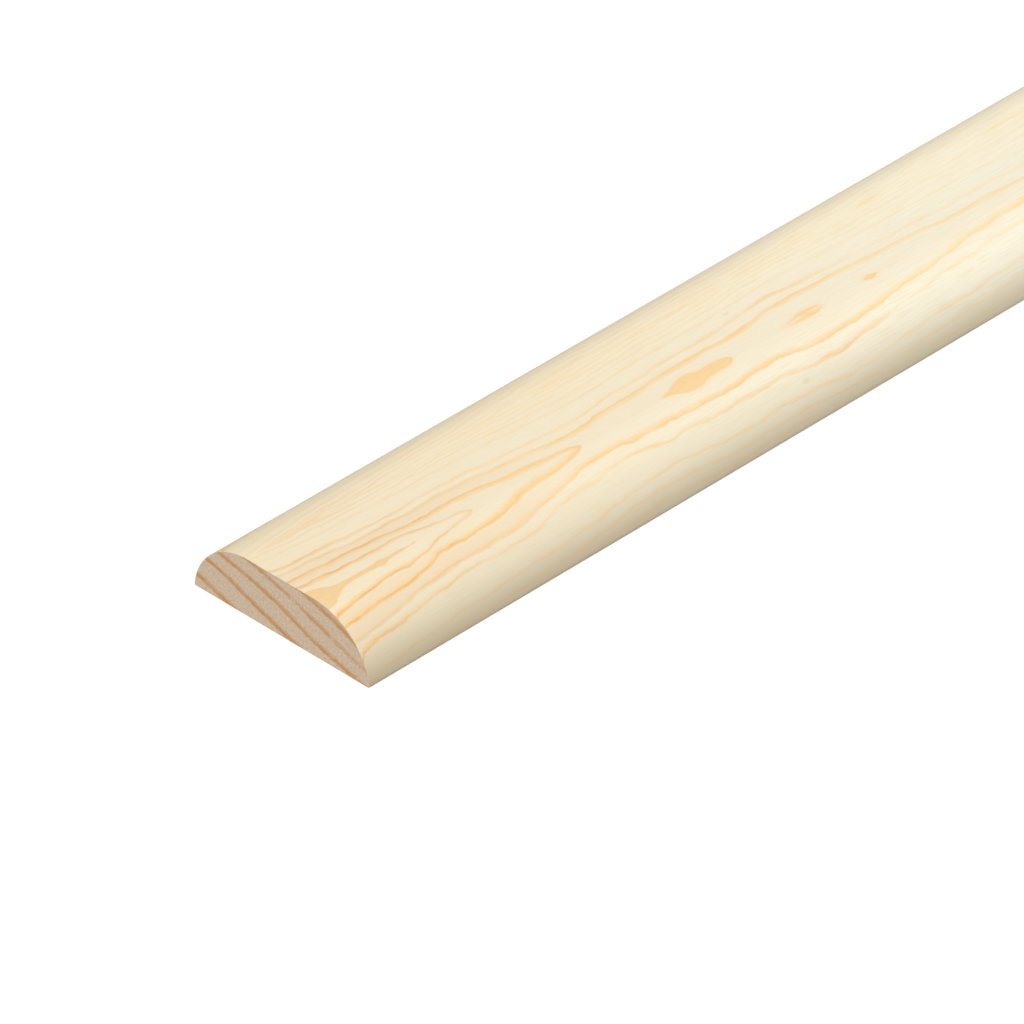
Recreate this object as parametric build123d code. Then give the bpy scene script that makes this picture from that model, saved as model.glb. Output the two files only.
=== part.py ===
from build123d import *
import os

# D-shaped moulding: one straight length of planed softwood.
# It lies on its flat back. Its crown is flat too, and runs into a full round shoulder along each side.
# X runs along the grain, Y across the width and Z up from the back. All sizes are in millimetres.

# Driving dimensions
stock_length = 2400.0  # a usual length for softwood mouldings on the rack
width = 32.0  # across the flat back, from one long edge to the other
thickness = 9.0  # from the flat back to the flat of the crown
shoulder_radius = 10.0  # the round shoulder on each side, tangent to the crown
arris_radius = 0.25  # the two long back edges, just taken off with fine paper

# Sizes that follow from them
# The shoulder comes down from the crown until it meets the back. A radius larger than the thickness stops a
# few degrees short of upright there, and a smaller one ends on a short square edge.
shoulder_drop = min(shoulder_radius, thickness)
below_back = shoulder_radius - shoulder_drop
shoulder_reach = (shoulder_radius**2 - below_back**2) ** 0.5
crown_width = width - 2 * shoulder_reach


def d_section():
    """The section across the grain: a rounded slab, planed off level along its back."""
    slab_width = crown_width + 2 * shoulder_radius
    slab_depth = thickness + shoulder_radius
    with BuildSketch(Plane.YZ) as section:
        with Locations((0, thickness)):
            Rectangle(slab_width, slab_depth, align=(Align.CENTER, Align.MAX))
        crown_corners = section.vertices().group_by(Axis.Y)[-1]
        fillet(crown_corners, shoulder_radius)
        Rectangle(slab_width, thickness, align=(Align.CENTER, Align.MIN), mode=Mode.INTERSECT)
    return section.sketch


def d_shape_moulding():
    """The whole piece: the section run along the grain and sawn square at both ends."""
    with BuildPart() as moulding:
        extrude(d_section(), amount=stock_length / 2, both=True)
        back_arrises = moulding.edges().filter_by(Axis.X).group_by(Axis.Z)[0]
        fillet(back_arrises, arris_radius)
    return moulding.part


os.makedirs("parts", exist_ok=True)
export_step(d_shape_moulding(), "parts/d_shape_moulding.step")
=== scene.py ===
import math

import bpy
import numpy as np
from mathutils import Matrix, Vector


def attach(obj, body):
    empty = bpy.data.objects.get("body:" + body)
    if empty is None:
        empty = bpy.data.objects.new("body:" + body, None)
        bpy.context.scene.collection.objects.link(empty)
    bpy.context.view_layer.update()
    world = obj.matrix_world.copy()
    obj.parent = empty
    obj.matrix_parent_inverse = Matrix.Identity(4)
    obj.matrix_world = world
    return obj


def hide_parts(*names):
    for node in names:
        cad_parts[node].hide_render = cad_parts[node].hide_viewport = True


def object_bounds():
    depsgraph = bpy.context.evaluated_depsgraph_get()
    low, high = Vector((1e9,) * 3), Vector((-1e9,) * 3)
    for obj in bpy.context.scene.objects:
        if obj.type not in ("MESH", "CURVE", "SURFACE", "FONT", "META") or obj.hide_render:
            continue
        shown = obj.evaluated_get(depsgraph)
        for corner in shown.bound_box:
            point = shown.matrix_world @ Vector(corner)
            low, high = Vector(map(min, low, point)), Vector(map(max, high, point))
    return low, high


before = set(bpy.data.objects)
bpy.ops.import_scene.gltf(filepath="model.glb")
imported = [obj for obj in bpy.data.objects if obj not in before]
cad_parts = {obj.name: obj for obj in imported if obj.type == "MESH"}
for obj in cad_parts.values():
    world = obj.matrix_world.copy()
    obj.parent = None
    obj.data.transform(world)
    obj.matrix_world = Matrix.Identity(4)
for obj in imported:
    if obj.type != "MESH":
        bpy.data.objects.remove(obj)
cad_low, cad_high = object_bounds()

MM = 0.001
scene = bpy.context.scene

# The moulding
# One straight length of pine, run past a shaped cutter so that it has a flat back, a flat crown and a round
# shoulder on each side, then sawn square at both ends. It is bare wood, and lies loose on its back.
length = cad_high.x - cad_low.x
thickness = cad_high.z - cad_low.z
back_width = 32 * MM  # before its two edges are eased
shoulder_radius = 10 * MM
arris_radius = 0.25 * MM
station_step = 10 * MM  # between two sections of the mesh
shoulder_points = 22


def node(tree, kind, values=(), **settings):
    """A new node with its settings. Each input in values is linked to a socket or set to a value."""
    made = tree.nodes.new(kind)
    for name, setting in settings.items():
        setattr(made, name, setting)
    for key, value in dict(values).items():
        if isinstance(value, bpy.types.NodeSocket):
            tree.links.new(value, made.inputs[key])
        else:
            made.inputs[key].default_value = value
    return made


def calc(tree, operation, *values):
    """One step of arithmetic on sockets and numbers."""
    return node(tree, "ShaderNodeMath", enumerate(values), operation=operation).outputs[0]


def sockets(tree, inputs, outputs):
    """Gives a node group its named sockets, and returns its input and output nodes."""
    for direction, named in (("INPUT", inputs), ("OUTPUT", outputs)):
        for name, kind in named.items():
            tree.interface.new_socket(name=name, in_out=direction, socket_type="NodeSocket" + kind)
    return tree.nodes.new("NodeGroupInput").outputs, tree.nodes.new("NodeGroupOutput").inputs


def moulding_tree():
    """The D section, drawn from its sizes and run along the grain."""
    tree = bpy.data.node_groups.new("d_section_run", "GeometryNodeTree")
    sizes = ("Length", "Width", "Thickness", "Shoulder Radius", "Arris Radius", "Station Step")
    inputs = {name: "Float" for name in sizes}
    inputs.update({"Shoulder Points": "Int", "Planed Wood": "Material", "Sawn Wood": "Material"})
    given, result = sockets(tree, inputs, {"Geometry": "Geometry"})
    radius = given["Shoulder Radius"]
    count = given["Shoulder Points"]

    # Each shoulder is an arc from the crown down to the back, which it meets at the foot angle.
    above = calc(tree, "SUBTRACT", given["Thickness"], radius)
    below = calc(tree, "MAXIMUM", calc(tree, "MULTIPLY", above, -1.0), 0.0)
    foot = calc(tree, "ARCSINE", calc(tree, "DIVIDE", below, radius))
    sweep = calc(tree, "SUBTRACT", math.pi / 2, foot)
    reach = calc(tree, "MULTIPLY", radius, calc(tree, "COSINE", foot))
    half_crown = calc(tree, "SUBTRACT", calc(tree, "MULTIPLY", given["Width"], 0.5), reach)

    # The first half of the points climbs one shoulder, and the second half goes down the other.
    index = tree.nodes.new("GeometryNodeInputIndex").outputs[0]
    second = calc(tree, "GREATER_THAN", index, calc(tree, "SUBTRACT", count, 0.5))
    step = calc(tree, "SUBTRACT", index, calc(tree, "MULTIPLY", second, count))
    share = calc(tree, "DIVIDE", step, calc(tree, "SUBTRACT", count, 1.0))
    angle = calc(tree, "MULTIPLY_ADD", calc(tree, "ADD", share, second), sweep, foot)
    side = calc(tree, "MULTIPLY_ADD", second, -2.0, 1.0)
    arc_middle = calc(tree, "MULTIPLY", side, half_crown)
    across = calc(tree, "MULTIPLY_ADD", calc(tree, "COSINE", angle), radius, arc_middle)
    up = calc(tree, "MULTIPLY_ADD", calc(tree, "SINE", angle), radius, above)

    # The sweep below turns a profile's X and Y to -Y and -Z.
    point = node(tree, "ShaderNodeCombineXYZ", {
        "X": calc(tree, "MULTIPLY", across, -1.0),
        "Y": calc(tree, "MULTIPLY", up, -1.0),
    })
    dots = node(tree, "GeometryNodeMeshLine", {"Count": calc(tree, "MULTIPLY", count, 2.0)})
    drawn = node(tree, "GeometryNodeSetPosition", {"Geometry": dots.outputs[0], "Position": point.outputs[0]})
    outline = node(tree, "GeometryNodeMeshToCurve", {"Mesh": drawn.outputs[0]})
    closed = node(tree, "GeometryNodeSetSplineCyclic", {0: outline.outputs[0], "Cyclic": True})
    first = calc(tree, "LESS_THAN", index, 0.5)
    last = calc(tree, "GREATER_THAN", index, calc(tree, "MULTIPLY_ADD", count, 2.0, -1.5))
    eased = node(tree, "GeometryNodeFilletCurve", {
        "Curve": closed.outputs[0],
        "Count": 4,
        "Radius": calc(tree, "MULTIPLY", given["Arris Radius"], calc(tree, "ADD", first, last)),
        "Limit Radius": True,
    }, mode="POLY")

    half_length = calc(tree, "MULTIPLY", given["Length"], 0.5)
    near = node(tree, "ShaderNodeCombineXYZ", {"X": calc(tree, "MULTIPLY", half_length, -1.0)})
    far = node(tree, "ShaderNodeCombineXYZ", {"X": half_length})
    rail = node(tree, "GeometryNodeCurvePrimitiveLine", {"Start": near.outputs[0], "End": far.outputs[0]})
    stations = calc(tree, "ROUND", calc(tree, "DIVIDE", given["Length"], given["Station Step"]))
    marked = node(tree, "GeometryNodeResampleCurve", {
        "Curve": rail.outputs[0],
        "Count": calc(tree, "ADD", stations, 1.0),
    })
    swept = node(tree, "GeometryNodeCurveToMesh", {
        "Curve": marked.outputs[0],
        "Profile Curve": eased.outputs[0],
        "Fill Caps": True,
    })
    smooth = node(tree, "GeometryNodeSetShadeSmooth", {"Geometry": swept.outputs[0]})
    real = node(tree, "GeometryNodeRealizeInstances", {"Geometry": smooth.outputs[0]})
    planed = node(tree, "GeometryNodeSetMaterial", {
        "Geometry": real.outputs[0],
        "Material": given["Planed Wood"],
    })
    normal = node(tree, "ShaderNodeSeparateXYZ", {0: tree.nodes.new("GeometryNodeInputNormal").outputs[0]})
    faces_end = calc(tree, "GREATER_THAN", calc(tree, "ABSOLUTE", normal.outputs["X"]), 0.9)
    sawn = node(tree, "GeometryNodeSetMaterial", {
        "Geometry": planed.outputs[0],
        "Selection": faces_end,
        "Material": given["Sawn Wood"],
    })
    tree.links.new(sawn.outputs[0], result["Geometry"])
    return tree


def swept_moulding(planed_wood, sawn_wood):
    """The moulding as a plain mesh object at the origin."""
    made = bpy.data.objects.new("pine_moulding", bpy.data.meshes.new("pine_moulding"))
    scene.collection.objects.link(made)
    run = made.modifiers.new("run", "NODES")
    run.node_group = moulding_tree()
    wanted = {
        "Length": length,
        "Width": back_width,
        "Thickness": thickness,
        "Shoulder Radius": shoulder_radius,
        "Arris Radius": arris_radius,
        "Station Step": station_step,
        "Shoulder Points": shoulder_points,
        "Planed Wood": planed_wood,
        "Sawn Wood": sawn_wood,
    }
    for socket in run.node_group.interface.items_tree:
        if socket.name in wanted:
            run[socket.identifier] = wanted[socket.name]
    swept = made.evaluated_get(bpy.context.evaluated_depsgraph_get())
    mesh = bpy.data.meshes.new_from_object(swept)
    made.modifiers.clear()
    made.data = mesh
    mesh.set_sharp_from_angle(angle=math.radians(40))
    return made


def lay_maps(mesh):
    """Two maps: Grain, in metres along and around the wood, and OFBake, the wood laid out in a square."""
    corners = np.zeros(len(mesh.vertices) * 3)
    mesh.vertices.foreach_get("co", corners)
    corner_of = np.zeros(len(mesh.loops), int)
    mesh.loops.foreach_get("vertex_index", corner_of)
    x, y, z = corners.reshape(-1, 3)[corner_of].T
    sides = np.array([len(face.vertices) for face in mesh.polygons])
    facing = np.repeat([face.normal[:] for face in mesh.polygons], sides, axis=0)
    middle = np.repeat([face.center.x for face in mesh.polygons], sides)
    on_end = np.abs(facing[:, 0]) > 0.9
    on_back = ~on_end & (facing[:, 2] < -0.7)

    # The girth is measured from the middle of the crown, over the round of the shoulder.
    half_crown = back_width / 2 - math.sqrt(shoulder_radius**2 - (shoulder_radius - thickness) ** 2)
    over = np.maximum(np.arctan2(np.abs(y) - half_crown, z - thickness + shoulder_radius), 0)
    girth = np.sign(y) * (np.minimum(np.abs(y), half_crown) + shoulder_radius * over)
    half_girth = np.abs(girth).max()
    along = x + length / 2
    other_board = 3.1  # the back shows another stretch of the figure, this far along
    grain = np.stack([along + other_board * on_back, np.where(on_back, y, girth)], 1)

    # In the square the length lies in strips, one above the other, over a low band with the two ends.
    strips = 3
    margin = 0.004
    end_band = 0.10
    back_share = 0.32  # of each strip's height, for the flat back
    far_end_shift = 0.5
    strip_long = length / strips
    strip_high = (1 - end_band) / strips
    strip = np.minimum((middle + length / 2) // strip_long, strips - 1)
    top_high = strip_high * (1 - back_share)
    u = margin + (1 - 2 * margin) * (along - strip * strip_long) / strip_long
    v_top = (girth / half_girth + 1) / 2 * (top_high - 2 * margin) + margin
    v_back = (y / back_width + 0.5) * (strip_high * back_share - 2 * margin) + margin + top_high
    v = end_band + strip * strip_high + np.where(on_back, v_back, v_top)
    end_scale = (end_band - 2 * margin) / thickness
    end_u = margin + (y + back_width / 2) * end_scale + np.where(x > 0, far_end_shift, 0.0)
    end_v = margin + z * end_scale
    bake = np.stack([np.where(on_end, end_u, u), np.where(on_end, end_v, v)], 1)
    for name, places in (("Grain", grain), ("OFBake", bake)):
        layer = mesh.uv_layers.new(name=name)
        layer.uv.foreach_set("vector", places.astype(np.float32).ravel())


def seen(red, green, blue):
    """A colour from the three numbers, 0 to 255, that it is seen as."""
    shares = [c / 255 for c in (red, green, blue)]
    return (*[s / 12.92 if s < 0.04045 else ((s + 0.055) / 1.055) ** 2.4 for s in shares], 1.0)


def step_up(tree, value, low, high, start=0.0, end=1.0):
    """A smooth change from start to end as value goes from low to high."""
    limits = {"Value": value, "From Min": low, "From Max": high, "To Min": start, "To Max": end}
    return node(tree, "ShaderNodeMapRange", limits, interpolation_type="SMOOTHSTEP").outputs[0]


def noise_along(tree, value, period, offset):
    """Slow noise on one number, from 0 to 1."""
    place = calc(tree, "MULTIPLY_ADD", value, 1 / period, offset)
    values = {"W": place, "Scale": 1.0, "Detail": 1.0, "Roughness": 0.45}
    return node(tree, "ShaderNodeTexNoise", values, noise_dimensions="1D").outputs["Fac"]


def noise_over(tree, x, y, size_x, size_y, detail=2.0, offset=0.0):
    """Noise over a face, from 0 to 1, with its own size each way."""
    place = node(tree, "ShaderNodeCombineXYZ", {
        "X": calc(tree, "MULTIPLY", x, 1 / size_x),
        "Y": calc(tree, "MULTIPLY", y, 1 / size_y),
        "Z": offset,
    })
    values = {"Vector": place.outputs[0], "Scale": 1.0, "Detail": detail, "Roughness": 0.55}
    return node(tree, "ShaderNodeTexNoise", values).outputs["Fac"]


def swing(tree, noise, reach):
    """Noise from 0 to 1, turned into a swing of this much either way."""
    return calc(tree, "MULTIPLY_ADD", noise, 2 * reach, -reach)


def blended(tree, factor, first, second):
    """Two colours mixed by factor."""
    made = tree.nodes.new("ShaderNodeMix")
    made.data_type = "RGBA"
    for key, value in (("Factor_Float", factor), ("A_Color", first), ("B_Color", second)):
        socket = next(s for s in made.inputs if s.identifier == key)
        if isinstance(value, bpy.types.NodeSocket):
            tree.links.new(value, socket)
        else:
            socket.default_value = value
    return next(s for s in made.outputs if s.identifier == "Result_Color")


def chosen(tree, factor, first, second):
    """A number between first, at 0, and second, at 1."""
    return node(tree, "ShaderNodeMix", {0: factor, 2: first, 3: second}).outputs[0]


def hand_curve(tree, value, points):
    """A smooth curve through points, held level past its ends."""
    start, end = points[0][0], points[-1][0]
    low = min(p[1] for p in points)
    high = max(p[1] for p in points)
    share = node(tree, "ShaderNodeMapRange", {"Value": value, "From Min": start, "From Max": end})
    made = node(tree, "ShaderNodeFloatCurve", {"Value": share.outputs[0]})
    drawn = made.mapping.curves[0].points
    while len(drawn) < len(points):
        drawn.new(0.5, 0.5)
    for dot, (x, y) in zip(drawn, points):
        dot.location = ((x - start) / (end - start), (y - low) / (high - low))
    made.mapping.update()
    return calc(tree, "MULTIPLY_ADD", made.outputs[0], high - low, low)


def ring_bands():
    """Latewood bands on a field that passes a whole number at each ring: a soft body and a dark edge."""
    tree = bpy.data.node_groups.new("ring_bands", "ShaderNodeTree")
    inputs = {name: "Float" for name in ("Rings", "Spacing", "Edge", "Solid", "Faded")}
    given, result = sockets(tree, inputs, {"Body": "Float", "Edge Line": "Float"})
    within = calc(tree, "MULTIPLY", calc(tree, "FRACT", given["Rings"]), given["Spacing"])
    rise = step_up(tree, within, 0.0, given["Edge"])
    body = step_up(tree, within, given["Solid"], given["Faded"], start=1.0, end=0.0)
    line = step_up(tree, within, given["Edge"], given["Solid"], start=1.0, end=0.0)
    tree.links.new(calc(tree, "MULTIPLY", rise, body), result["Body"])
    tree.links.new(calc(tree, "MULTIPLY", rise, line), result["Edge Line"])
    return tree


# Places on the face are in millimetres: along from the sawn end in view, and round the girth from the middle
# of the crown. The rings nest about the heart line. Each has its distance from that line, and how dark it is,
# up to the end of the stretch in view. Past that the figure changes over to slow noise.
heart_line = -6.4
view_end = 138
changed_over = 190
heart_wander = 30  # either way, out of view
raggedness = 0.55  # of every ring, either way
ring_lines = (
    (
        ((0, 4.1), (2, 3.7), (5, 3.4), (12, 2.9), (16, 2.85), (19, 2.2), (24, 1.4), (26.5, 1.1),
         (28.5, 0.1), (34, -1.8), (160, -1.8)),
        ((0, 0.95), (5, 1.1), (14, 1.05), (17, 0.82), (30, 0.68), (160, 0.6)),
    ),
    (
        ((0, 5.6), (8, 5.0), (16, 4.4), (18, 3.9), (20, 3.6), (24, 3.7), (30, 3.4), (36, 2.4), (41, 2.0),
         (46.5, 1.1), (48.2, 0.2), (50, -0.7), (54, -1.7), (160, -1.7)),
        ((0, 1.15), (6, 1.08), (14, 1.06), (17, 0.9), (20, 1.02), (48, 0.98), (160, 0.9)),
    ),
    (
        ((0, 7.3), (8, 6.6), (13, 5.9), (17, 5.8), (22, 5.5), (29, 5.6), (34, 5.0), (42, 4.1), (46, 3.4),
         (52, 3.3), (54, 3.7), (63, 3.9), (66, 4.2), (75, 4.2), (79, 4.0), (84, 4.3), (88, 4.8),
         (99, 4.4), (105, 3.9), (111, 3.6), (116, 3.1), (120, 2.6), (130, 2.3), (142, 1.5),
         (148, 0.3), (152, -0.8), (160, -1.6)),
        ((0, 0.4), (10, 0.45), (22, 0.6), (30, 0.55), (38, 0.68), (46, 0.74), (49, 0.86), (98, 0.82),
         (103, 0.62), (160, 0.66)),
    ),
    (
        ((0, 9.2), (3, 8.3), (8, 8.0), (16, 7.2), (22, 6.9), (27, 7.1), (38, 6.1), (46, 5.5), (53, 5.1),
         (59, 5.9), (63, 5.7), (67, 6.0), (81, 6.2), (87, 6.8), (95, 6.3), (103, 5.7), (115, 5.0),
         (130, 4.5), (145, 3.9), (160, 3.1)),
        ((0, 0.95), (8, 0.85), (12, 0.54), (20, 0.46), (54, 0.48), (75, 0.52), (90, 0.6), (99, 0.48),
         (104, 0.22), (118, 0.3), (160, 0.3)),
    ),
    (
        ((0, 11.5), (16, 10.1), (30, 9.7), (40, 9.3), (48, 8.6), (58, 8.2), (66, 8.8), (81, 8.8),
         (90, 9.3), (103, 8.7), (120, 8.2), (160, 6.5)),
        ((0, 0.15), (28, 0.2), (44, 0.32), (75, 0.3), (90, 0.24), (160, 0.26)),
    ),
)

# Half the width of the dark patches that lie on the heart line: a tongue, a streak with a flare, and three
# eyes. Below zero there is no patch, but a little of its colour still shows.
heart_patches = (
    (0, 2.2), (1, 2.1), (2.2, 1.6), (3.6, 0.8), (4.6, 0.46), (6, 0.36), (10.4, 0.34), (11.4, 0.6),
    (12.4, 0.32), (13.4, 0.2), (17, 0.14), (18.3, -0.3), (22, -1.0), (44, -1.0), (48, -0.4), (60, -0.4),
    (63, 0.15), (65, 0.55), (67.2, 1.5), (69, 1.6), (70.8, 1.0), (73, 1.1), (75.6, 0.5), (76.2, -0.2),
    (80, -0.8), (84, -0.4), (86, 0.0), (88, 0.6), (90, 0.75), (92.4, 0.5), (94, -0.2), (97, -0.8),
    (100.8, -0.25), (101.8, 0.15), (102.8, 0.36), (103.6, 0.15), (104.8, -0.2), (107, -0.5),
    (110, -1.0), (160, -1.0),
)
# How pale the middle of a patch is.
patch_hearts = (
    (0, 0.0), (84, 0.0), (88, 1.0), (89.2, 0.9), (90, 0.1), (91, 0.2), (93, 0.8), (95, 0.0), (160, 0.0),
)
# Past the crest line, on the crown, the rings turn back on themselves for a while. Out of view they do so
# less and less, up to the turning end. A row of small marks lies along the crest line, given by half their
# width.
crest_line = 6.2
turning_width = 6.8
turning_end = 440
crown_marks = (
    (0, -0.5), (4, 0.0), (8, 0.15), (17, -0.1), (22, -0.5), (50, -0.5), (54, 0.1), (62, -0.4), (66, 0.0),
    (71, 0.0), (75, -0.4), (79, 0.0), (85, -0.5), (112, -0.4), (115, 0.2), (121, -0.5), (136, -0.4),
    (141, 0.1), (150, -0.5), (160, -0.5),
)


def between_lines(tree, place, lines, darkness):
    """A field that is 1 on the first line and falls by one to each line after it. With it come the gap that
    each place lies in, and the darkness of the line that the gap starts from."""
    first_gap = 5.0
    inside = calc(tree, "MAXIMUM", calc(tree, "SUBTRACT", lines[0], place), 0.0)
    field = calc(tree, "MULTIPLY_ADD", inside, 1 / first_gap, 1.0)
    gap = first_gap
    dark = darkness[0]
    for inner, outer, darker in zip(lines, lines[1:], darkness[1:]):
        passed = node(tree, "ShaderNodeMapRange", {"Value": place, "From Min": inner, "From Max": outer})
        field = calc(tree, "SUBTRACT", field, passed.outputs[0])
        beyond = calc(tree, "GREATER_THAN", place, inner)
        gap = chosen(tree, beyond, gap, calc(tree, "SUBTRACT", outer, inner))
        dark = chosen(tree, beyond, dark, darker)
    return field, gap, dark


def plain_sawn_figure():
    """The rings of a face sawn through near the side of the log: nested tongues, eyes and long waves."""
    tree = bpy.data.node_groups.new("plain_sawn_figure", "ShaderNodeTree")
    outputs = {name: "Float" for name in ("Rings", "Spacing", "Strength", "Aside")}
    given, result = sockets(tree, {"Along": "Float", "Girth": "Float"}, outputs)
    along, girth = given["Along"], given["Girth"]
    far = step_up(tree, along, view_end, changed_over)

    # How far each place lies aside from the heart line, as the rings count it. Low on the front shoulder they
    # lie a little further apart.
    wander = swing(tree, noise_along(tree, along, period=330, offset=4.7), heart_wander)
    heart = calc(tree, "MULTIPLY_ADD", wander, far, heart_line)
    turn = step_up(tree, along, view_end, turning_end, start=-1.8, end=0.0)
    past_crest = calc(tree, "MAXIMUM", calc(tree, "SUBTRACT", girth, crest_line), 0.0)
    past_crest = calc(tree, "MINIMUM", past_crest, turning_width)
    turned_back = calc(tree, "MULTIPLY", past_crest, turn)
    over = calc(tree, "SUBTRACT", calc(tree, "ADD", girth, turned_back), heart)
    under = calc(tree, "MAXIMUM", calc(tree, "MULTIPLY", over, -1.0), 0.0)
    spread = 0.0132
    drawn_in = calc(tree, "MULTIPLY", under, calc(tree, "MULTIPLY_ADD", under, -spread, 1.0))
    rough = noise_over(tree, along, girth, size_x=3.6, size_y=2.0, detail=5.0, offset=1.7)
    aside = calc(tree, "ADD", calc(tree, "MAXIMUM", over, drawn_in), swing(tree, rough, raggedness))

    # In the stretch in view the field falls by one from each ring line to the next.
    lines = [hand_curve(tree, along, points) for points, _ in ring_lines]
    darkness = [hand_curve(tree, along, points) for _, points in ring_lines]
    rings, spacing, strength = between_lines(tree, aside, lines, darkness)

    # Past the last line it goes on falling, faster and faster, and the waves die out.
    last_line_mean = 8.6
    first_rate = 0.6  # rings to the millimetre
    faster = 0.09
    outside = calc(tree, "MAXIMUM", calc(tree, "SUBTRACT", aside, lines[-1]), 0.0)
    settled = step_up(tree, outside, 0, 4, start=0.0, end=0.7)
    calm = calc(tree, "MULTIPLY", calc(tree, "SUBTRACT", lines[-1], last_line_mean), settled)
    stir = swing(tree, noise_over(tree, along, girth, size_x=38, size_y=2.2, detail=1.0, offset=21.0), 1.0)
    calm = calc(tree, "MULTIPLY_ADD", stir, settled, calm)
    past = calc(tree, "ADD", outside, calm)
    mean_rate = calc(tree, "MULTIPLY_ADD", past, faster, first_rate)
    rate = calc(tree, "MULTIPLY_ADD", past, 2 * faster, first_rate)
    rings = calc(tree, "SUBTRACT", rings, calc(tree, "MULTIPLY", past, mean_rate))
    beyond = calc(tree, "GREATER_THAN", outside, 0.0)
    spacing = chosen(tree, beyond, spacing, calc(tree, "DIVIDE", 1.0, rate))
    strength = chosen(tree, beyond, strength, step_up(tree, along, 96, 122, start=0.30, end=0.16))
    lower = step_up(tree, over, -1, 1, start=0.10, end=0.0)
    lower = calc(tree, "MULTIPLY", lower, calc(tree, "LESS_THAN", rings, -2.0))
    strength = calc(tree, "MULTIPLY", strength, calc(tree, "ADD", lower, 1.0))
    spacing = calc(tree, "DIVIDE", spacing, calc(tree, "MULTIPLY_ADD", under, -2 * spread, 1.0))

    # Out of view the tongues and waves come from slow noise.
    slow = calc(tree, "MULTIPLY_ADD", noise_along(tree, along, period=240, offset=9.3), 11.0, -6.0)
    quick = swing(tree, noise_along(tree, along, period=38, offset=2.9), 0.8)
    blunt = calc(tree, "SQRT", calc(tree, "MULTIPLY_ADD", aside, aside, 0.3))
    outer = calc(tree, "SMOOTH_MAX", calc(tree, "SUBTRACT", aside, 9.0), 0.0, 1.0)
    fall = calc(tree, "MULTIPLY_ADD", outer, 0.4, calc(tree, "MULTIPLY", blunt, 0.5))
    far_rings = calc(tree, "SUBTRACT", calc(tree, "ADD", slow, quick), fall)
    number = calc(tree, "FLOOR", far_rings)
    by_ring = noise_over(tree, along, number, size_x=160, size_y=1.4, detail=1.0, offset=5.0)
    far_strength = step_up(tree, by_ring, 0.30, 0.65, start=0.22, end=1.0)
    far_strength = calc(tree, "MULTIPLY", far_strength, step_up(tree, aside, 5, 12, start=1.0, end=0.35))
    far_spacing = 2.0
    tree.links.new(chosen(tree, far, rings, far_rings), result["Rings"])
    tree.links.new(chosen(tree, far, spacing, far_spacing), result["Spacing"])
    tree.links.new(chosen(tree, far, strength, far_strength), result["Strength"])
    tree.links.new(aside, result["Aside"])
    return tree


bands = ring_bands()


def banded(tree, rings, spacing, edge, solid, faded):
    """The body and the edge line of the ring bands."""
    values = {"Rings": rings, "Spacing": spacing, "Edge": edge, "Solid": solid, "Faded": faded}
    made = node(tree, "ShaderNodeGroup", node_tree=bands)
    for name, value in values.items():
        if isinstance(value, bpy.types.NodeSocket):
            tree.links.new(value, made.inputs[name])
        else:
            made.inputs[name].default_value = value
    return made.outputs["Body"], made.outputs["Edge Line"]


def in_gap(tree, rings, middle):
    """1 in the gap between two rings that has this middle on the field, and 0 elsewhere."""
    off_middle = calc(tree, "ABSOLUTE", calc(tree, "SUBTRACT", rings, middle))
    return calc(tree, "LESS_THAN", off_middle, 0.5)


def ring_marks(tree, along, girth, golden, inner_gap, outer_gap, rings, spacing, strength):
    """How much of the latewood's body and of its dark edge shows. The two strong rings are the broadest, and
    all of them come and go along their length."""
    broadest = calc(tree, "MULTIPLY", inner_gap, golden)
    broad = calc(tree, "MULTIPLY", outer_gap, golden)

    # The widths are in millimetres, from the ring's line in towards the heart.
    uneven = noise_over(tree, along, girth, size_x=7, size_y=3, detail=2.0, offset=15.0)
    wide = calc(tree, "MULTIPLY_ADD", strength, 0.47, calc(tree, "MULTIPLY_ADD", uneven, 0.9, 0.28))
    wide = calc(tree, "MULTIPLY_ADD", broadest, 0.45, wide)
    wide = calc(tree, "MULTIPLY_ADD", broad, 0.32, wide)
    edge = calc(tree, "MULTIPLY_ADD", broadest, 0.18, 0.48)
    solid = calc(tree, "ADD", edge, 0.16)
    body, edge_line = banded(tree, rings, spacing, edge, solid, wide)

    # The strength fades in patches, more in a faint ring than in a dark one.
    patchy = noise_over(tree, along, rings, size_x=9, size_y=0.8, detail=3.0, offset=5.0)
    faint = calc(tree, "MULTIPLY_ADD", calc(tree, "MINIMUM", strength, 1.0), 0.76, 0.02)
    kept = chosen(tree, step_up(tree, patchy, 0.30, 0.60), faint, 1.0)
    strength = calc(tree, "MULTIPLY", strength, kept)
    inky = noise_over(tree, along, rings, size_x=3, size_y=0.7, detail=2.0, offset=33.0)
    inked = step_up(tree, inky, 0.35, 0.65, start=0.60, end=1.20)
    body = calc(tree, "MULTIPLY", body, strength)
    edge_line = calc(tree, "MULTIPLY", calc(tree, "MULTIPLY", edge_line, strength), inked)
    return body, edge_line


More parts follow.
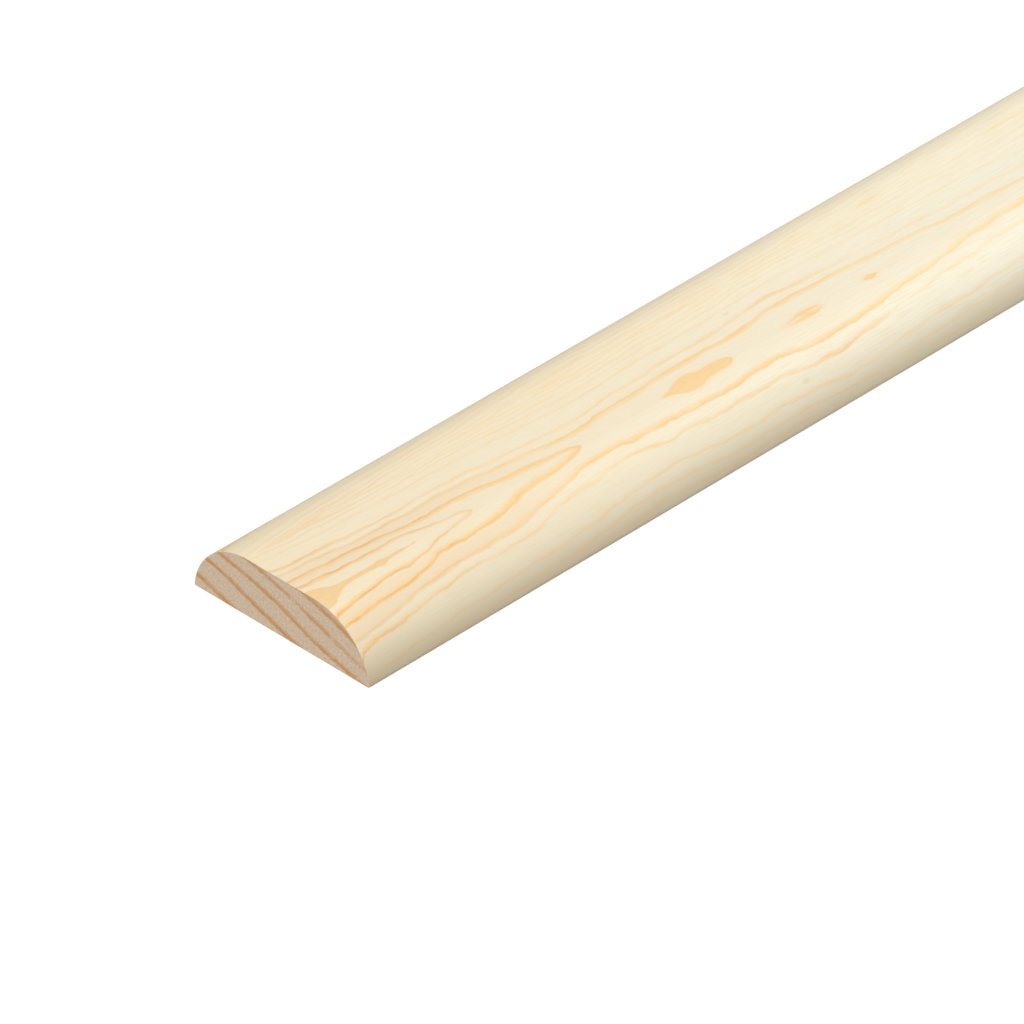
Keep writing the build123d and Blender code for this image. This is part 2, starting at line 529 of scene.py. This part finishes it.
def heart_marks(tree, along, girth, aside):
    """The dark patches on the heart line, mottled and palest inside, and a faint halo round the eyes."""
    within = calc(tree, "SUBTRACT", hand_curve(tree, along, heart_patches), aside)
    rim = step_up(tree, within, 0.1, 0.7, start=1.0, end=0.88)
    patch = calc(tree, "MULTIPLY", step_up(tree, within, -0.18, 0.18), rim)
    heart = step_up(tree, aside, 0.12, 0.40, start=1.0, end=0.0)
    pale = calc(tree, "MULTIPLY", heart, hand_curve(tree, along, patch_hearts))
    patch = calc(tree, "MULTIPLY", patch, calc(tree, "SUBTRACT", 1.0, pale))
    mottle = noise_over(tree, along, girth, size_x=1.6, size_y=0.55, detail=3.0, offset=27.0)
    patch = calc(tree, "MULTIPLY", patch, step_up(tree, mottle, 0.30, 0.70, start=0.80, end=1.06))
    round_eyes = step_up(tree, along, 40, 48, start=0.0, end=0.5)
    halo = calc(tree, "MULTIPLY", step_up(tree, within, -0.9, 0.0), round_eyes)
    return patch, halo


def crest_marks(tree, along, girth):
    """The small marks on the crest line. The first of them parts in two."""
    off_crest = calc(tree, "ABSOLUTE", calc(tree, "SUBTRACT", girth, crest_line))
    parting = calc(tree, "MULTIPLY", step_up(tree, along, 7, 20), calc(tree, "LESS_THAN", along, 30))
    off_mark = calc(tree, "ABSOLUTE", calc(tree, "MULTIPLY_ADD", parting, -1.2, off_crest))
    within = calc(tree, "SUBTRACT", hand_curve(tree, along, crown_marks), off_mark)
    return step_up(tree, within, -0.35, 0.15, start=0.0, end=0.72)


def cream_ground(tree, along, girth, inner_gap, outer_gap, far_warmth, fibre):
    """The pale wood between the rings. It is warmer towards the sawn end, most of all between the strongest
    lines there. Painted light makes it a little lighter on both shoulders, and painted shade makes it darker
    at the foot of the front shoulder. Fine fibre runs all through it."""
    fading = {"Value": along, "From Min": 0.0, "From Max": 130.0, "To Min": 1.0, "To Max": 0.0}
    fade = node(tree, "ShaderNodeMapRange", fading).outputs[0]
    warmth = calc(tree, "MAXIMUM", fade, far_warmth)
    ground = blended(tree, step_up(tree, girth, -3, 6), seen(244, 237, 215), seen(248, 241, 217))
    # Painted light: these two steps make the ground lighter on the front shoulder and on the back shoulder.
    ground = blended(tree, step_up(tree, girth, -8, -12), ground, seen(252, 246, 224))
    ground = blended(tree, step_up(tree, girth, 6.5, 8), ground, seen(252, 244, 220))
    cloudy = noise_over(tree, along, girth, size_x=60, size_y=4, detail=2.0, offset=3.3)
    clouds = step_up(tree, cloudy, 0.35, 0.65, start=0.0, end=0.25)
    ground = blended(tree, clouds, ground, seen(245, 230, 199))
    ground = blended(tree, warmth, ground, seen(242, 227, 196))
    # Painted shade: the foot colour darkens the ground low on the front shoulder, near the floor.
    foot = blended(tree, warmth, seen(237, 225, 195), seen(229, 211, 178))
    ground = blended(tree, step_up(tree, girth, -15, -20, start=0.0, end=0.85), ground, foot)
    outer_blush = calc(tree, "MULTIPLY", outer_gap, step_up(tree, along, 20, 48, start=0.85, end=0.0))
    inner_blush = calc(tree, "MULTIPLY", inner_gap, step_up(tree, along, 10, 32, start=0.85, end=0.0))
    ground = blended(tree, calc(tree, "ADD", outer_blush, inner_blush), ground, seen(239, 219, 186))
    fibres = step_up(tree, fibre, 0.42, 0.72, start=0.0, end=0.36)
    return blended(tree, fibres, ground, seen(239, 217, 177))


def warm_corner(tree, along, girth, ground):
    """The ground with an orange tinge on the back shoulder, where it meets the sawn end."""
    on_shoulder = step_up(tree, girth, 9.5, 12.5)
    tinge = calc(tree, "MULTIPLY", on_shoulder, step_up(tree, along, 0.5, 4.5, start=0.6, end=0.0))
    return blended(tree, tinge, ground, seen(245, 205, 150))


def specked(tree, along, girth, ground):
    """The ground with two small dull specks on it."""
    drawn_out = 0.55
    for speck_along, speck_girth in ((82.8, 1.1), (82.8, -14.6)):
        off_along = calc(tree, "MULTIPLY", calc(tree, "SUBTRACT", along, speck_along), drawn_out)
        off_girth = calc(tree, "SUBTRACT", girth, speck_girth)
        girth_squared = calc(tree, "MULTIPLY", off_girth, off_girth)
        distance = calc(tree, "SQRT", calc(tree, "MULTIPLY_ADD", off_along, off_along, girth_squared))
        speck = step_up(tree, distance, 0.1, 0.5, start=0.24, end=0.0)
        ground = blended(tree, speck, ground, seen(212, 188, 148))
    return ground


def latewood_colours(tree, along, girth, golden, far_warmth):
    """The body and the edge of a ring: browner near the sawn end, then golden, then yellower. Near the end they
    are a little brighter on the front shoulder."""
    lower_side = step_up(tree, girth, -6, -11)
    cooler = calc(tree, "SUBTRACT", 1.0, far_warmth)
    yellower = calc(tree, "MULTIPLY", step_up(tree, along, 88, 104), cooler)
    orange = blended(tree, lower_side, seen(243, 209, 160), seen(248, 211, 151))
    orange = blended(tree, golden, orange, seen(249, 213, 156))
    orange = blended(tree, yellower, orange, seen(249, 220, 159))
    brown = blended(tree, lower_side, seen(229, 185, 131), seen(235, 186, 124))
    brown = blended(tree, golden, brown, seen(245, 206, 149))
    brown = blended(tree, yellower, brown, seen(246, 214, 151))
    return orange, brown


def planed_pine():
    """Pale pine straight from the cutter: ochre latewood lines on cream, fine fibre, a dull sheen."""
    material = bpy.data.materials.new("planed_pine")
    material.use_nodes = True
    tree = material.node_tree
    shader = tree.nodes["Principled BSDF"]
    grain_map = node(tree, "ShaderNodeUVMap", uv_map="Grain").outputs[0]
    place = node(tree, "ShaderNodeSeparateXYZ", {0: grain_map})
    along = calc(tree, "DIVIDE", place.outputs["X"], MM)
    girth = calc(tree, "DIVIDE", place.outputs["Y"], MM)
    figure = node(tree, "ShaderNodeGroup", {0: along, 1: girth}, node_tree=plain_sawn_figure())
    rings, spacing, strength, aside = figure.outputs
    golden = step_up(tree, along, 17, 38)
    inner_gap = in_gap(tree, rings, 0.5)
    outer_gap = in_gap(tree, rings, -0.5)
    patch, halo = heart_marks(tree, along, girth, aside)
    body, edge_line = ring_marks(tree, along, girth, golden, inner_gap, outer_gap, rings, spacing, strength)

    # Out of view the warmth of the wood comes and goes.
    come_and_go = noise_along(tree, along, period=420, offset=6.1)
    out_of_view = step_up(tree, along, view_end, 260, start=0.0, end=0.9)
    far_warmth = calc(tree, "MULTIPLY", out_of_view, come_and_go)
    fibre = noise_over(tree, along, girth, size_x=5, size_y=0.26, detail=4.0, offset=11.0)
    wood = cream_ground(tree, along, girth, inner_gap, outer_gap, far_warmth, fibre)
    wood = blended(tree, halo, wood, seen(247, 222, 184))
    wood = specked(tree, along, girth, warm_corner(tree, along, girth, wood))
    orange, brown = latewood_colours(tree, along, girth, golden, far_warmth)
    marked = calc(tree, "MAXIMUM", body, crest_marks(tree, along, girth))
    wood = blended(tree, marked, wood, orange)
    patch_colour = blended(tree, golden, seen(242, 204, 147), seen(248, 210, 152))
    wood = blended(tree, patch, wood, patch_colour)
    wood = blended(tree, calc(tree, "MULTIPLY", edge_line, 0.80), wood, brown)
    tree.links.new(wood, shader.inputs["Base Color"])

    # Latewood is a little shinier, and the fibre stands a little proud.
    dull = calc(tree, "MULTIPLY_ADD", fibre, 0.16, 0.56)
    tree.links.new(calc(tree, "MULTIPLY_ADD", body, -0.06, dull), shader.inputs["Roughness"])
    bump = node(tree, "ShaderNodeBump", {"Height": fibre, "Distance": 0.02 * MM, "Strength": 1.0})
    tree.links.new(bump.outputs[0], shader.inputs["Normal"])
    shader.inputs["Specular IOR Level"].default_value = 0.12
    return material


# On the sawn end the rings slant down from the back shoulder to the front one. Each line gives its depth
# below the flat back, in millimetres and negative above it, against the place across. The first is the
# highest.
end_lines = (
    ((-16, -3.7), (-12, -5.8), (-8, -7.3), (-4, -8.4), (16, -13.7)),
    ((-16, -1.8), (-12, -2.9), (-8, -4.3), (-5, -5.3), (-2.3, -6.4), (0, -7.0), (4, -8.05), (16, -10.3)),
    ((-16, 0.9), (-11, -0.35), (-6, -1.65), (-3, -2.85), (1, -4.4), (5, -5.55), (11, -6.8), (16, -7.8)),
    ((-16, 5.5), (-4, 0.95), (1, -0.63), (7, -2.7), (11, -4.15), (16, -5.2)),
    ((-16, 8.9), (4, 2.15), (10, 0.25), (14, -1.0), (16, -1.5)),
)
# The second of them breaks off twice, and goes on paler.
second_darkness = (
    (-16, 0.45), (-9.8, 0.6), (-9.2, 0.3), (-8.6, 0.85), (-2.8, 0.8), (-2.2, 0.25), (-1.6, 0.75), (3, 0.9),
    (16, 0.6),
)
end_darkness = (0.95, second_darkness, 0.95, 1.0, 1.0)


def sawn_pine():
    """End grain off the saw: brown rings on a rough, speckled ground."""
    material = bpy.data.materials.new("sawn_pine")
    material.use_nodes = True
    tree = material.node_tree
    shader = tree.nodes["Principled BSDF"]
    here = node(tree, "ShaderNodeSeparateXYZ", {0: node(tree, "ShaderNodeTexCoord").outputs["Object"]})
    across = calc(tree, "DIVIDE", here.outputs["Y"], MM)
    up = calc(tree, "DIVIDE", here.outputs["Z"], MM)

    # The rings, with torn edges.
    torn = noise_over(tree, across, up, size_x=0.6, size_y=0.6, detail=4.0, offset=8.0)
    depth = calc(tree, "SUBTRACT", swing(tree, torn, 0.4), up)
    lines = [hand_curve(tree, across, points) for points in end_lines]
    darkness = [hand_curve(tree, across, d) if isinstance(d, tuple) else d for d in end_darkness]
    rings, spacing, strength = between_lines(tree, depth, lines, darkness)
    wide = calc(tree, "MULTIPLY", calc(tree, "MINIMUM", spacing, 3.2), 0.45)
    band, _ = banded(tree, rings, spacing, edge=0.36, solid=0.50, faded=wide)
    patchy = noise_over(tree, across, rings, size_x=1.6, size_y=0.5, detail=2.0, offset=3.0)
    patchy = step_up(tree, patchy, 0.30, 0.60, start=0.70, end=1.0)
    band = calc(tree, "MULTIPLY", band, calc(tree, "MULTIPLY", strength, patchy))

    # The ground is speckled, with redder and greyer clouds.
    speckle = noise_over(tree, across, up, size_x=0.34, size_y=0.34, detail=4.0, offset=1.0)
    redder = noise_over(tree, across, up, size_x=1.6, size_y=1.1, detail=3.0, offset=6.0)
    greyer = noise_over(tree, across, up, size_x=0.6, size_y=0.5, detail=2.0, offset=14.0)
    wood = blended(tree, step_up(tree, speckle, 0.32, 0.68), seen(206, 180, 151), seen(229, 209, 181))
    wood = blended(tree, step_up(tree, redder, 0.40, 0.65, start=0.0, end=0.5), wood, seen(219, 190, 160))
    wood = blended(tree, step_up(tree, greyer, 0.45, 0.65, start=0.0, end=0.6), wood, seen(213, 197, 178))
    wood = blended(tree, calc(tree, "MULTIPLY", band, 0.95), wood, seen(204, 148, 88))
    tree.links.new(wood, shader.inputs["Base Color"])
    tree.links.new(calc(tree, "MULTIPLY_ADD", speckle, 0.15, 0.70), shader.inputs["Roughness"])

    # The saw left upright scratches among the specks.
    scratches = noise_over(tree, across, up, size_x=0.5, size_y=14, detail=2.0, offset=4.0)
    relief = calc(tree, "ADD", speckle, calc(tree, "MULTIPLY", scratches, 0.6))
    bump = node(tree, "ShaderNodeBump", {"Height": relief, "Distance": 0.06 * MM, "Strength": 1.0})
    tree.links.new(bump.outputs[0], shader.inputs["Normal"])
    shader.inputs["Specular IOR Level"].default_value = 0.25
    return material


moulding = swept_moulding(planed_pine(), sawn_pine())
lay_maps(moulding.data)
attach(moulding, "root")
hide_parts("d_shape_moulding")

# The floor
# A plain white studio floor that runs out past every view. It looks white to the camera, and keeps a soft
# shadow under the wood.
floor_half = 60.0
floor_mesh = bpy.data.meshes.new("floor")
floor_corners = [(x * floor_half, y * floor_half, 0) for x, y in ((-1, -1), (1, -1), (1, 1), (-1, 1))]
floor_mesh.from_pydata(floor_corners, [], [(0, 1, 2, 3)])
floor = bpy.data.objects.new("floor", floor_mesh)
scene.collection.objects.link(floor)


def white_to_camera(tree):
    """1 where the camera, a mirror or glass looks straight at it, and 0 for the light it gives the wood."""
    path = tree.nodes.new("ShaderNodeLightPath").outputs
    looks = calc(tree, "MAXIMUM", path["Is Camera Ray"], path["Is Glossy Ray"])
    return calc(tree, "MAXIMUM", looks, path["Is Transmission Ray"])


def floor_material():
    """White to look at, though it takes the shadow, and duller for the light that it throws back."""
    material = bpy.data.materials.new("studio_floor")
    material.use_nodes = True
    tree = material.node_tree
    tree.nodes.clear()
    shadowed = node(tree, "ShaderNodeBsdfDiffuse", {"Color": (0.25, 0.25, 0.25, 1.0)}).outputs[0]
    lift = node(tree, "ShaderNodeEmission", {"Color": (1.0, 1.0, 1.0, 1.0), "Strength": 0.80}).outputs[0]
    seen_floor = node(tree, "ShaderNodeAddShader", {0: shadowed, 1: lift}).outputs[0]
    dull = node(tree, "ShaderNodeBsdfDiffuse", {"Color": (0.15, 0.15, 0.15, 1.0)}).outputs[0]
    mix = node(tree, "ShaderNodeMixShader", {0: white_to_camera(tree), 1: dull, 2: seen_floor})
    node(tree, "ShaderNodeOutputMaterial", {"Surface": mix.outputs[0]})
    return material


floor.data.materials.append(floor_material())

# The light
# One broad soft lamp, high up to the left of the camera, and an even sky that fills the shadows.
world = bpy.data.worlds.new("studio")
scene.world = world
world.use_nodes = True
sky = world.node_tree
sky_level = 0.26
levels = {"Value": white_to_camera(sky), "To Min": sky_level, "To Max": 1.0}
strength = node(sky, "ShaderNodeMapRange", levels)
sky.nodes["Background"].inputs["Color"].default_value = (1.0, 1.0, 1.0, 1.0)
sky.links.new(strength.outputs[0], sky.nodes["Background"].inputs["Strength"])

lamp_data = bpy.data.lights.new("soft_lamp", "SUN")
lamp_data.energy = 3.14
lamp_data.angle = math.radians(40)
lamp = bpy.data.objects.new("soft_lamp", lamp_data)
scene.collection.objects.link(lamp)
towards_lamp = Vector((-0.79, -0.36, 1.0))
lamp.rotation_mode = "QUATERNION"
lamp.rotation_quaternion = towards_lamp.to_track_quat("Z", "Y")

# The camera
# A long lens, which looks down on the sawn end from the left and past it along the wood.
camera_data = bpy.data.cameras.new("camera")
camera_data.sensor_width = 36.0
camera_data.lens = 392.226
camera = bpy.data.objects.new("camera", camera_data)
scene.collection.objects.link(camera)
azimuth = math.radians(-45.2377)
elevation = math.radians(35.5047)
camera_distance = 1.44586
target = Vector((-length / 2 + 40.099 * MM, -1.658 * MM, 0.0))
back = Vector((
    math.sin(azimuth) * math.cos(elevation),
    -math.cos(azimuth) * math.cos(elevation),
    math.sin(elevation),
))
camera.location = target + back * camera_distance
camera.rotation_mode = "QUATERNION"
camera.rotation_quaternion = (-back).to_track_quat("-Z", "Y")
camera_data.clip_start = 0.1
camera_data.clip_end = 200.0
scene.camera = camera
scene.view_settings.view_transform = "Standard"
